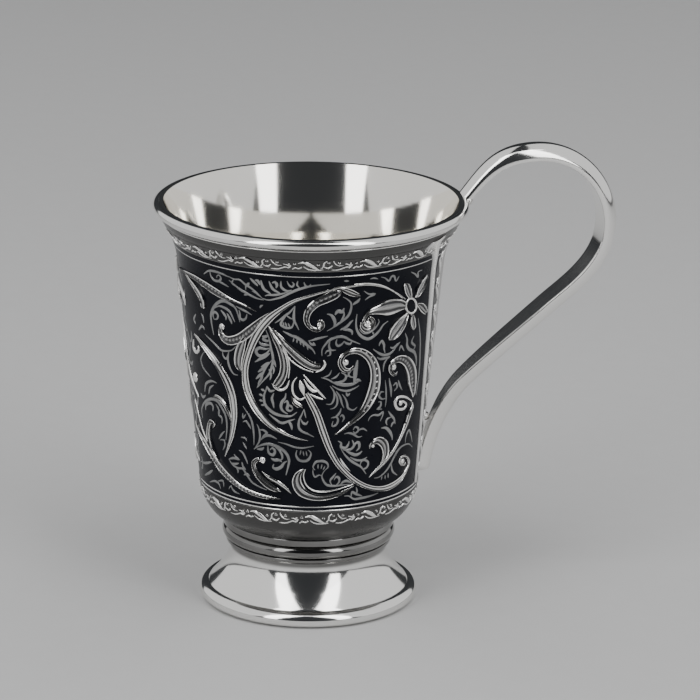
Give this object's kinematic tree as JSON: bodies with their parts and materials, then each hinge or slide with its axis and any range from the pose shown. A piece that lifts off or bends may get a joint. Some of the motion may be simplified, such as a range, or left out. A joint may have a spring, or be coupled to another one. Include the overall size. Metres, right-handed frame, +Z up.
{
  "type": "silver mug",
  "caption": "Tapered silver drinking mug with a flared lip, a niello panel of chased scrolls, a strap handle and a stepped round foot.",
  "frame": {"origin": "on the table, under the middle of the mug's bounding box", "axes": "+X from the cup towards the handle, +Z up, +Y across the handle's plane"},
  "size_m": [0.113, 0.075, 0.1104],
  "materials": {
    "polished_silver": "mirror-polished sterling silver with fine hairlines",
    "satin_silver": "spun sterling silver, polished at the lip and satin lower down",
    "chased_silver": "chased and bright-cut silver with dark ground",
    "niello": "blue-black fused niello, semi-gloss",
    "solder": "silver solder, softly uneven"
  },
  "bodies": {
    "root": {"base_wire": "polished_silver", "foot_shell": "polished_silver", "collar_bead": "polished_silver", "collar_fillet": "polished_silver", "foot_solder": "solder", "cup_body": "satin_silver", "lip_wire": "polished_silver", "niello_inlay": "niello", "upper_border": "chased_silver", "lower_border": "chased_silver", "near_side_border": "chased_silver", "far_side_border": "chased_silver", "handle_strap": "polished_silver", "upper_handle_solder": "solder", "lower_handle_solder": "solder"}
  },
  "joints": []
}
